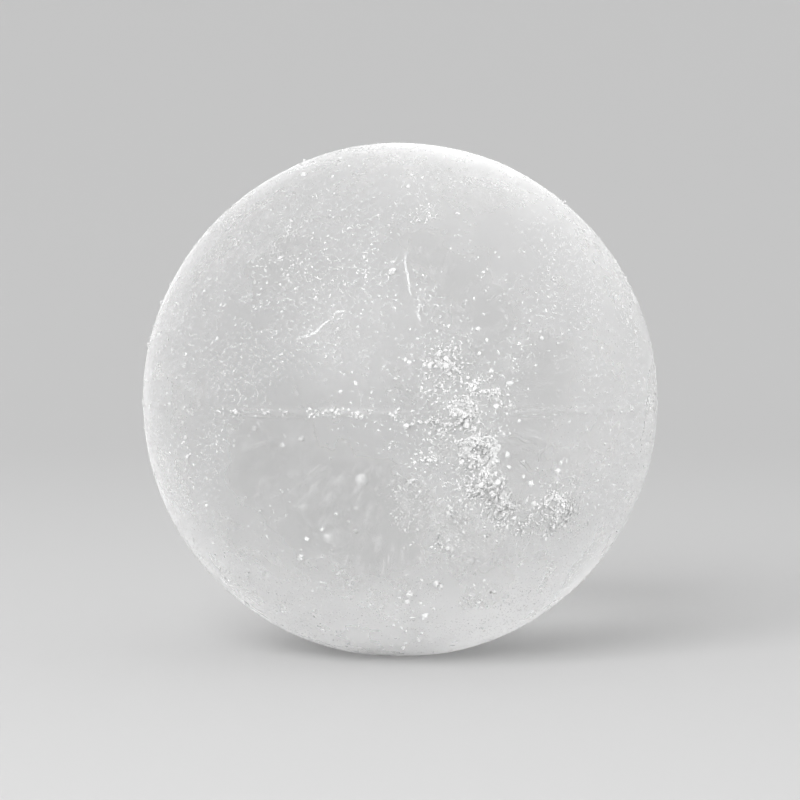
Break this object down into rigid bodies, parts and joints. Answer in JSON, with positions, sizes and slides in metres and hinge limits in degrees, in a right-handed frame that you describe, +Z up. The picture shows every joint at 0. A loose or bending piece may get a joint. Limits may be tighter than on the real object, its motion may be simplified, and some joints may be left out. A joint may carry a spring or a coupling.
{
  "type": "ice sphere",
  "caption": "Moulded ball of see-through ice for drinks, with a low mould seam, a frosted patch and a small flat that it rests on.",
  "frame": {"origin": "centre of the small flat at the ball's lower pole, which it rests on", "axes": "+Z up through both poles, square to the mould seam; X and Y level; the frosted patch faces -Y, a little towards +X"},
  "size_m": [0.0604, 0.0604, 0.0592],
  "materials": {
    "ice": "see-through freezer ice with a satin, lightly frosted skin",
    "frost": "white grains of frost on the skin, from powder to small clumps",
    "air": "fine pale bubbles and healed cracks of air, sealed in the ice"
  },
  "bodies": {
    "root": {"ice_sphere": "ice"}
  },
  "joints": []
}
